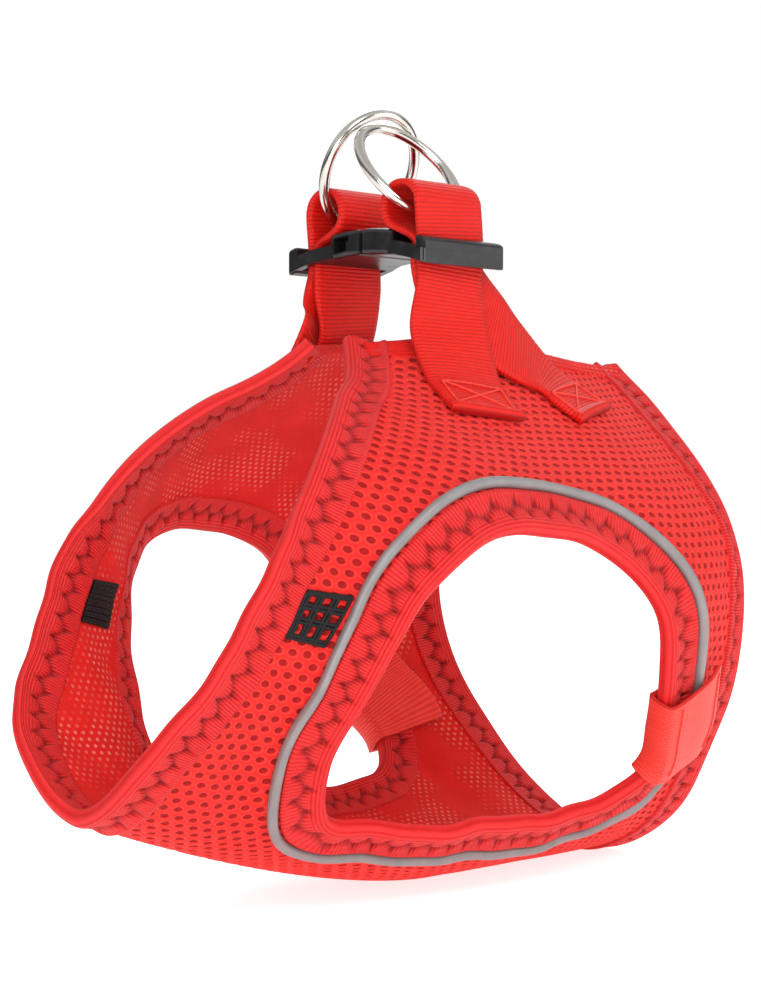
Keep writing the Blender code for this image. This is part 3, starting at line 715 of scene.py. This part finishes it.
def cloth():
    """Outer mesh and lining, each one sheet across the belly."""
    outer = girth_grid(HOLE_U / 6.0, HOLE_V / 4.0, MESH_OUT, "vest_mesh", KNIT, knit_relief)
    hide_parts("near_outer_mesh", "far_outer_mesh")
    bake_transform(outer)
    inner = girth_grid(0.9, 0.9, LINING_IN, "vest_lining", LINING)
    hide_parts("near_lining", "far_lining")
    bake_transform(inner)


# ---------------------------------------------------------------- bindings and piping

def zigzag(run, s):
    """Height lost to the zigzag seam, and the painted shade in its groove, darkest at the turns."""
    phase = np.mod(run / ZIG_PITCH, 1.0)
    swing = 4.0 * np.abs(phase - 0.5) - 1.0
    away = np.abs(s - ZIG_MID - ZIG_AMP * swing) * 0.64
    turn = np.maximum(0.0, np.abs(swing) - 0.35) / 0.65
    line = np.exp(-(away / (0.42 + 0.42 * turn)) ** 2)
    in_seam = 1.0 if abs(s - ZIG_MID) < 3.4 else 0.0
    return line * (0.55 + 0.5 * turn) * in_seam, line * (0.65 + 0.35 * turn) * in_seam


def tape_profile(outside, inside):
    """Closed profile of a folded tape: two puffed bands beside the sunken seam."""
    fine = np.arange(BINDING_W, 0.9, -0.34)
    profile = []
    for s in fine:
        puff = 0.42 * math.exp(-((s - 1.9) / 1.3) ** 2) + 0.3 * math.exp(-((s - 8.6) / 0.7) ** 2)
        profile.append((s, outside + puff, 1))
    for turn in (0.2, 0.5, 0.8):
        a = math.pi * turn
        middle, radius = 0.5 * (outside + inside), 0.5 * (outside - inside)
        profile.append((0.9 - 0.9 * math.sin(a), middle + radius * math.cos(a), 1))
    for s in fine[::-1]:
        profile.append((s, inside, -1))
    return profile


def long_binding(name, edge, side, *nodes):
    """Binding of the neck or waist edge, one tape round both flanks."""
    spots, run = edge_run(both_flanks(edge), False, 0.5)
    obj = strip(name, spots, run, tape_profile(BINDING_OUT, BINDING_IN), side, False, TAPE, zigzag)
    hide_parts(*nodes)
    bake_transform(obj)
    return obj


def leg_pieces(side_name, far):
    """Leg hole binding and the grey piping beside it."""
    body = side_name + "_half"
    spots, run = edge_run(LEG_EDGE, True, 0.5, ZIG_PITCH)
    tape = strip(side_name + "_leg_tape", spots, run, tape_profile(BINDING_OUT, BINDING_IN), -1.0,
                 True, TAPE, zigzag, far)
    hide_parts(side_name + "_leg_binding")
    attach(tape, body)
    start, middle = BINDING_W + 0.45, 0.5 * PIPING_W
    profile = [(start, MESH_OUT - 0.1, 1)]
    for turn in np.linspace(0.0, 1.0, 9):
        a = math.pi * turn
        rise = PIPING_TOP - PIPING_BASE
        profile.append((start + middle * (1.0 - math.cos(a)),
                        PIPING_BASE - 0.2 + (rise + 0.2) * math.sin(a) ** 0.8, 1))
    profile.append((start + PIPING_W, MESH_OUT - 0.1, 1))
    cord = strip(side_name + "_piping", spots, run, profile, -1.0, True, PIPING, None, far)
    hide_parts(side_name + "_reflective_piping")
    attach(cord, body)


def top_hem(side_name, far):
    """Turned edge of the cloth along the back, between the neck and waist bindings."""
    xs = np.arange(-1.0, 86.0, 0.8)
    spots = top_edge(xs, 174.6)
    run = xs - xs[0]
    profile = []
    for s in np.arange(4.6, 0.8, -0.4):
        profile.append((s, MESH_OUT + 0.5 - 0.25 * math.exp(-((s - 3.4) / 0.4) ** 2), 1))
    for turn in (0.15, 0.35, 0.5, 0.65, 0.85):
        a = math.pi * turn
        profile.append((0.8 - 1.4 * math.sin(a), 0.3 + 1.5 * math.cos(a), 1))
    for s in np.arange(0.8, 4.7, 0.6):
        profile.append((s, LINING_IN - 0.3, -1))
    obj = strip(side_name + "_top_hem", spots, run, profile, -1.0, False, LINING, None, far)
    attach(obj, side_name + "_half")


# ---------------------------------------------------------------- webbing

def at_height(x, z):
    """Spot at a given height on the upper part of the flank."""
    low, high = 90.0, 180.0
    for _ in range(24):
        angle = 0.5 * (low + high)
        if on_body(np.array([x, angle]))[2] < z:
            low = angle
        else:
            high = angle
    return np.array([x, angle])


def foot_spots(far):
    """Where the straight and the slanting leg of a loop lie on the flank."""
    if far:
        straight = [(18.0, 107.5), (18.5, 102.5), (19.0, 98.0)]
        slanted = [(8.0, 110.0), (4.5, 105.5), (1.0, 101.0)]
        lean = (0.80, -0.08, -0.60)
    else:
        straight = [(15.5, 107.5), (14.5, 102.5), (13.5, 98.0)]
        slanted = [(44.5, 107.4), (47.5, 103.2), (50.5, 99.0)]
        lean = (0.84, 0.14, 0.50)
    return ([at_height(*s) for s in straight], [at_height(*s) for s in slanted],
            unit(np.array(lean)))


def bezier(a, b, c, d, t):
    """Point of a cubic curve."""
    u = 1.0 - t
    return a * u ** 3 + b * (3.0 * u * u * t) + c * (3.0 * u * t * t) + d * t ** 3


def web_path(far):
    """Centre points and width directions of one webbing loop, as the CAD lays it."""
    straight, slanted, lean = foot_spots(far)
    lift = MESH_OUT + 0.45 + 0.5 * WEB_T
    slant_lift = (BINDING_OUT if far else MESH_OUT) + 0.45 + 0.5 * WEB_T
    flat = unit(np.array([0.98, -0.18, 0.0]))
    level = np.array([1.0, 0.0, 0.0])
    inner_y = SLOT_Y + 1.5
    outer_y = inner_y + WEB_T + 0.5
    first_y, last_y = (inner_y, outer_y) if far else (outer_y, inner_y)
    path = [(place(spot, lift), flat) for spot in reversed(straight)]
    foot = straight[0][0]
    below = 1.0 if far else 0.6
    path.append((np.array([0.6 * foot + 0.4 * STRAP_X, -first_y - below, 118.0]), flat))
    path.append((np.array([0.2 * foot + 0.8 * STRAP_X, -first_y - 0.3 * below, 127.5]), level))
    path.append((np.array([STRAP_X, -first_y, 133.5]), level))
    path.append((np.array([STRAP_X, -first_y, 138.0]), level))
    radius = LOOP_R + 0.5 * WEB_T
    eye = []
    for a in np.radians(np.linspace(-5.0, 227.0, 11)):
        eye.append(np.array([RING_X, -LOOP_Y - radius * math.cos(a),
                             LOOP_Z + radius * math.sin(a)]))
    if far:
        eye.reverse()
    path += [(p, level) for p in eye]
    path.append((np.array([STRAP_X, -last_y, 137.6]), level))
    head = place(slanted[0], slant_lift)
    start = np.array([STRAP_X, -last_y, 133.0])
    turn = np.array([STRAP_X, -last_y, 126.0])
    knee = np.array([STRAP_X + 0.46 * (head[0] - STRAP_X), -last_y - 2.2, 120.0])
    outward = np.array([0.0, -1.0, 0.0])
    facing = normals(slanted[0])
    for k in range(6):
        t = k / 6.0
        along = bezier(start, turn, knee, head, t + 0.02) - bezier(start, turn, knee, head,
                                                                   t - 0.02)
        face = outward * (1.0 - t * t) + facing * (t * t)
        across = unit(np.cross(along, face))
        if across[0] < 0.0:
            across = -across
        path.append((bezier(start, turn, knee, head, t), across))
    path += [(place(spot, slant_lift), lean) for spot in slanted]
    return path


def lifted(p, least):
    """Push a point out until it clears the middle surface by a distance."""
    spot = to_spot(p)
    n = normals(spot)
    height = float(np.dot(p - on_body(spot), n))
    return p + n * max(0.0, least - height)


def web_rings(far):
    """Cross sections of the loop: three points on each face."""
    path = web_path(far)
    n = len(path)
    rings = []
    for i, (p, across) in enumerate(path):
        base = (BINDING_OUT if far and 2 * i > n else MESH_OUT) + 0.45
        along = unit(path[min(i + 1, n - 1)][0] - path[max(i - 1, 0)][0])
        w = unit(across - along * np.dot(across, along))
        up = np.cross(along, w)
        lower = [p + w * (WEB_W * t) - up * (0.5 * WEB_T) for t in (-0.5, 0.0, 0.5)]
        if i < 3 or i > n - 4:
            spots = [to_spot(q) for q in lower]
            lower = [place(q, base) for q in spots]
            upper = [place(q, base + WEB_T) for q in spots]
            if i < 3:
                lower, upper = upper, lower
        elif p[2] < BACK_Z:
            upper = [lifted(q + up * WEB_T, base) for q in lower]
            lower = [lifted(q, base) for q in lower]
            for k in range(3):
                out = normals(to_spot(lower[k]))
                if np.dot(upper[k] - lower[k], out) > 0.0:
                    upper[k] = lower[k] + out * WEB_T
                else:
                    lower[k] = upper[k] + out * WEB_T
        else:
            upper = [q + up * WEB_T for q in lower]
        rings.append(np.array(lower + upper))
    return np.array(rings)


def strap(side_name, far):
    """One webbing loop with its crosswise ribs and a turned-under lip at each end."""
    rings = web_rings(far)
    flat = smooth(rings.reshape(len(rings), -1), False, 40)

    def middle(rows):
        return rows.reshape(len(rows), 6, 3)[:, [1, 4]].mean(axis=1)

    dense, run = spaced(flat, middle, 0.25, RIB)
    dense = dense.reshape(len(dense), 6, 3)
    widths = np.linspace(-1.0, 1.0, 15)
    shares = [0.5 * widths * (widths - 1.0), 1.0 - widths ** 2, 0.5 * widths * (widths + 1.0)]
    lower = sum(s[None, :, None] * dense[:, k:k + 1] for k, s in enumerate(shares))
    upper = sum(s[None, :, None] * dense[:, k + 3:k + 4] for k, s in enumerate(shares))
    out = unit(upper - lower)
    rib = 0.09 * np.abs(np.sin(math.pi * run / RIB))[:, None, None]
    edge = (0.22 * ease((np.abs(widths) - 0.86) / 0.14))[None, :, None]
    lip = 0.75 * (np.exp(-((run - 1.2) / 1.0) ** 2) + np.exp(-((run[-1] - run - 1.2) / 1.0) ** 2))
    start = (run < 0.5 * run[-1])[:, None, None]
    lip = lip[:, None, None]
    lower = lower - out * (rib - edge + np.where(start, lip, 0.0))
    upper = upper + out * (rib - edge + np.where(start, 0.0, lip))
    points = np.concatenate([lower, upper[:, ::-1]], axis=1)
    if far:
        points = mirrored(points)
    across = np.concatenate([widths, widths[::-1]]) * 0.5 * WEB_W
    obj = tube_grid(side_name + "_webbing", points, run, across, WEB, False)
    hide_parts(side_name + "_strap")
    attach(obj, side_name + "_half")


def tubes(name, paths, radius, mat, stitch=0.0, sides=6):
    """Round threads along several paths; with a stitch length they pinch between stitches."""
    points, faces, uvs = [], [], []
    for path in paths:
        path = np.asarray(path)
        run = np.concatenate([[0.0], np.cumsum(np.linalg.norm(np.diff(path, axis=0), axis=1))])
        along = unit(np.gradient(path, axis=0))
        side = unit(np.cross(along, np.array([0.31, 0.17, 0.93])))
        up = np.cross(along, side)
        r = np.full(len(path), radius)
        if stitch:
            r = radius * (0.35 + 0.65 * np.abs(np.sin(math.pi * run / stitch)) ** 0.5)
        base = len(points)
        for k in range(len(path)):
            for j in range(sides):
                a = 2.0 * math.pi * j / sides
                points.append(path[k] + (side[k] * math.cos(a) + up[k] * math.sin(a)) * r[k])
        for k in range(len(path) - 1):
            for j in range(sides):
                j2 = (j + 1) % sides
                faces.append([base + k * sides + j, base + k * sides + j2,
                              base + (k + 1) * sides + j2, base + (k + 1) * sides + j])
                va, vb = j * 0.3, (j + 1) * 0.3
                uvs += [(run[k], va), (run[k], vb), (run[k + 1], vb), (run[k + 1], va)]
        for k, flip in ((0, True), (len(path) - 1, False)):
            cap = [base + k * sides + j for j in range(sides)]
            faces.append(cap[::-1] if flip else cap)
            uvs += [(0.0, 0.0)] * sides
    points = np.array(points)
    obj = build_mesh(name, points, faces, mat, uvs)
    if volume(points, faces) < 0.0:
        obj.data.flip_normals()
    return obj


def box_stitch(side_name, end, far):
    """Square of stitching with a cross inside, on one end of a loop."""
    straight, slanted, lean = foot_spots(far)
    if end == "front":
        spots, across, base = straight, unit(np.array([0.98, -0.18, 0.0])), MESH_OUT
    else:
        spots, across, base = slanted, lean, BINDING_OUT if far else MESH_OUT
    low, high = on_body(spots[2]), on_body(spots[0])
    along = unit(high - low)
    across = unit(across - along * np.dot(across, along))
    middle = low + along * 5.6
    half_w, half_h = 7.8, 3.7
    corners = [(-1, -1), (1, -1), (1, 1), (-1, 1), (-1, -1)]
    paths = []
    lines = list(zip(corners, corners[1:])) + [((-1, -1), (1, 1)), ((-1, 1), (1, -1))]
    for (ax, ay), (bx, by) in lines:
        t = np.linspace(0.0, 1.0, 40)[:, None]
        flat = (middle + across * (half_w * (ax + (bx - ax) * t))
                + along * (half_h * (ay + (by - ay) * t)))
        line = place(to_spot(flat), base + 0.45 + WEB_T + 0.2)
        paths.append(mirrored(line) if far else line)
    obj = tubes("%s_%s_x_box" % (side_name, end), paths, 0.3, RED_THREAD, SEAM_STITCH)
    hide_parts("%s_%s_box_stitch" % (side_name, end))
    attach(obj, side_name + "_half")


# ---------------------------------------------------------------- keeper and bartacks

def keeper(side_name, far):
    """Webbing patch folded round the strip behind the leg hole."""
    dense = smooth(LEG_EDGE, True)
    first = LEG_EDGE.index((53, 49)) * 24
    last = LEG_EDGE.index((42, 76)) * 24
    spots, run = spaced(dense[first - 4:last - 10], on_body, 0.4, KEEPER_RIB)
    high, low = PIPING_TOP + 0.4, BINDING_IN - 0.5
    thick = KEEPER_T
    profile = [(s, high + thick, 1) for s in np.arange(KEEPER_W, -0.1, -0.5)]
    middle, radius = 0.5 * (high + low), 0.5 * (high - low) + thick
    for turn in np.linspace(0.08, 0.92, 9):
        a = math.pi * turn
        profile.append((-1.3 * math.sin(a), middle + radius * math.cos(a), 1))
    profile += [(s, low - thick, -1) for s in np.arange(0.0, KEEPER_W + 0.1, 0.8)]
    profile += [(s, low, -1) for s in np.arange(KEEPER_W, 0.3, -1.6)]
    for turn in np.linspace(0.9, 0.1, 6):
        a = math.pi * turn
        profile.append((0.4 - 0.8 * math.sin(a), middle + (radius - thick) * math.cos(a), 1))
    profile += [(s, high, 1) for s in np.arange(0.5, KEEPER_W + 0.1, 1.6)]

    def weave(run, s):
        return -0.1 * np.abs(np.sin(math.pi * s / KEEPER_RIB)) + 0.0 * run, 0.0 * run

    obj = strip(side_name + "_keeper", spots, run, profile, -1.0, False, SALMON, weave, far,
                KEEPER_EVEN)
    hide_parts(side_name + "_strip_keeper")
    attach(obj, side_name + "_half")
    lines = []
    for s in (2.6, 17.2):
        inner = spots[4:-4]
        line = place(shifted(inner, s, -1.0, False, KEEPER_EVEN), high + thick + 0.2)
        lines.append(mirrored(line) if far else line)
    seam = tubes(side_name + "_keeper_seam", lines, 0.24, RED_THREAD, SEAM_STITCH)
    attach(seam, side_name + "_half")


def bartack(side_name, far):
    """Black locking stitches on the strip between neck and leg hole, outside and inside."""
    neck, _ = edge_run(NECK_EDGE, False, 0.25)
    share = np.linspace(0.0, 1.0, len(neck))
    edge = neck[(share > 18.7 / 36.0) & (share < 21.3 / 36.0)]
    edge = shifted(edge, BINDING_W + 0.4, 1.0, False)
    out_lines, in_lines = [], []
    n = len(edge)
    for k in range(17):
        row = edge[int(round(k * (n - 1) / 16.0))]
        t = np.linspace(0.0, BARTACK_W, 26)
        spots = np.stack([row[0] + t, np.full(t.shape, row[1])], axis=-1)
        wave = 0.2 * np.abs(np.sin(2.0 * math.pi * t / 2.9 + 0.5 * math.pi * (k % 2)))
        if k in (0, 1, 5, 6, 10, 11, 15, 16):
            out_lines.append(place(spots, MESH_OUT + 0.3 + wave))
        in_lines.append(place(spots, LINING_IN - 0.35 - wave))
    for k in range(13):
        column = edge + np.array([BARTACK_W * k / 12.0, 0.0])
        if k % 4 in (0, 1):
            out_lines.append(place(column, np.full(n, MESH_OUT + 0.4 + 0.1 * (k % 2))))
    for name, lines, node in (("_bartack_threads", out_lines, "_bartack"),
                              ("_bartack_threads_back", in_lines, "_bartack_back")):
        lines = [mirrored(line) for line in lines] if far else lines
        obj = tubes(side_name + name, lines, BLACK_RADIUS, BLACK_THREAD)
        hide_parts(side_name + node)
        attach(obj, side_name + "_half")


# ---------------------------------------------------------------- rings and buckle

def leash_ring(side_name, lean, far):
    """Polished ring of round wire with a faint weld."""
    turns, around = 144, 20
    a = np.linspace(0.0, 2.0 * math.pi, turns + 1)
    b = np.linspace(0.0, 2.0 * math.pi, around, endpoint=False)
    weld = 1.0 + 0.05 * np.exp(-((a - 4.1) / 0.035) ** 2)
    wire = 0.5 * RING_WIRE * weld[:, None]
    radius = 0.5 * (RING_OD - RING_WIRE) + wire * np.cos(b)[None, :]
    points = np.stack([radius * np.cos(a)[:, None],
                       wire * np.sin(b)[None, :],
                       RING_DROP + radius * np.sin(a)[:, None]], axis=-1)
    c, s = math.cos(math.radians(lean)), math.sin(math.radians(lean))
    y, z = points[..., 1].copy(), points[..., 2].copy()
    points[..., 1] = y * c + z * s
    points[..., 2] = z * c - y * s
    if far:
        points = mirrored(points)
    points += np.array([RING_X, LOOP_Y if far else -LOOP_Y, LOOP_Z])
    obj = tube_grid(side_name + "_ring_wire", points, a * 0.5 * RING_OD, b * 0.5 * RING_WIRE,
                    NICKEL, True)
    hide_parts(side_name + "_leash_ring")
    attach(obj, side_name + "_ring")


def buckle():
    """The moulded buckle pieces with rounded edges and a satin black finish."""
    bodies = {"buckle_socket": "far_half", "buckle_plug": "near_half",
              "front_latch_arm": "front_arm", "rear_latch_arm": "rear_arm"}
    for node, body in bodies.items():
        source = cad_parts[node]
        mesh = source.data.copy()
        mesh.materials.clear()
        mesh.materials.append(PLASTIC)
        obj = bpy.data.objects.new(node + "_moulding", mesh)
        obj.matrix_world = source.matrix_world.copy()
        bpy.context.scene.collection.objects.link(obj)
        round_off = obj.modifiers.new("rounded", "BEVEL")
        round_off.width = EDGE_ROUND * MM
        round_off.segments = 3
        round_off.limit_method = "ANGLE"
        round_off.angle_limit = math.radians(40.0)
        round_off.harden_normals = True
        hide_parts(node)
        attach(obj, body)


# ---------------------------------------------------------------- studio

def studio():
    """Pale floor, soft light and the camera."""
    ground, half = CAD_BOX[0][2] - FLOOR_DROP * MM, FLOOR_HALF
    mesh = bpy.data.meshes.new("floor")
    mesh.from_pydata([(-half, -half, ground), (half, -half, ground), (half, half, ground),
                      (-half, half, ground)], [], [(0, 1, 2, 3)])
    floor = bpy.data.objects.new("floor", mesh)
    bpy.context.scene.collection.objects.link(floor)
    paper = Look("floor_paper", (0.93, 0.93, 0.93), 0.9)
    here = paper.node("ShaderNodeTexCoord").outputs["Object"]
    paper.bump(paper.noise(here, 400.0), 0.05, 0.1)
    paper.set("Emission Color", (1.0, 1.0, 1.0, 1.0))
    seen = paper.node("ShaderNodeLightPath").outputs["Is Camera Ray"]
    paper.link(paper.maths("MULTIPLY_ADD", seen, 0.25, 0.5),
               paper.shader.inputs["Emission Strength"])
    mesh.materials.append(paper.material)

    world = bpy.data.worlds.new("studio")
    bpy.context.scene.world = world
    world.use_nodes = True
    nodes, links = world.node_tree.nodes, world.node_tree.links
    back = nodes["Background"]
    back.inputs["Strength"].default_value = 1.0
    height = nodes.new("ShaderNodeSeparateXYZ")
    links.new(nodes.new("ShaderNodeTexCoord").outputs["Generated"], height.inputs[0])
    ramp = nodes.new("ShaderNodeValToRGB")
    lift = nodes.new("ShaderNodeMapRange")
    lift.inputs["From Min"].default_value = -1.0
    links.new(height.outputs[2], lift.inputs["Value"])
    links.new(lift.outputs[0], ramp.inputs[0])
    tones = ((0.0, 0.3), (0.42, 0.42), (0.5, 0.14), (0.6, 0.08), (0.68, 0.4), (0.82, 0.75),
             (1.0, 0.55))
    stops = ramp.color_ramp.elements
    while len(stops) < len(tones):
        stops.new(0.5)
    for stop, (at, tone) in zip(stops, tones):
        stop.position = at
        stop.color = (tone, tone, tone, 1.0)
    seen = nodes.new("ShaderNodeLightPath")
    plain = nodes.new("ShaderNodeMix")
    plain.data_type = "RGBA"
    links.new(seen.outputs["Is Camera Ray"], plain.inputs[0])
    links.new(ramp.outputs[0], plain.inputs[6])
    plain.inputs[7].default_value = (1.0, 1.0, 1.0, 1.0)
    links.new(plain.outputs[2], back.inputs["Color"])

    for name, spot, power, size in (("key", (-0.15, -0.85, 0.75), 2.9, 0.45),
                                    ("fill", (-0.64, -0.55, 0.22), 3.0, 0.45),
                                    ("side", (0.55, -0.6, 0.3), 1.0, 0.4),
                                    ("rim", (0.5, 0.5, 0.7), 1.8, 0.5)):
        data = bpy.data.lights.new(name, "AREA")
        data.energy = power
        data.size = size
        lamp = bpy.data.objects.new(name, data)
        lamp.location = spot
        aim = Vector((0.01, 0.0, 0.08)) - Vector(spot)
        lamp.rotation_euler = aim.to_track_quat("-Z", "Y").to_euler()
        bpy.context.scene.collection.objects.link(lamp)

    azimuth, elevation = math.radians(AZIMUTH), math.radians(ELEVATION)
    out = Vector((math.sin(azimuth) * math.cos(elevation), -math.cos(azimuth) * math.cos(elevation),
                  math.sin(elevation)))
    data = bpy.data.cameras.new("camera")
    data.sensor_width = SENSOR
    data.lens = LENS
    data.clip_start = 0.01
    camera = bpy.data.objects.new("camera", data)
    camera.location = Vector(AIM) + out * DISTANCE
    camera.rotation_euler = out.to_track_quat("Z", "Y").to_euler()
    bpy.context.scene.collection.objects.link(camera)
    bpy.context.scene.camera = camera
    bpy.context.scene.view_settings.view_transform = "Standard"


studio()
cloth()
long_binding("neck_tape", NECK_EDGE, 1.0, "near_neck_binding", "far_neck_binding")
long_binding("waist_tape", REAR_EDGE, -1.0, "near_rear_binding", "far_rear_binding")
for flank, is_far in (("near", False), ("far", True)):
    leg_pieces(flank, is_far)
    top_hem(flank, is_far)
    strap(flank, is_far)
    box_stitch(flank, "front", is_far)
    box_stitch(flank, "rear", is_far)
    keeper(flank, is_far)
    bartack(flank, is_far)
    leash_ring(flank, FAR_LEAN if is_far else NEAR_LEAN, is_far)
buckle()
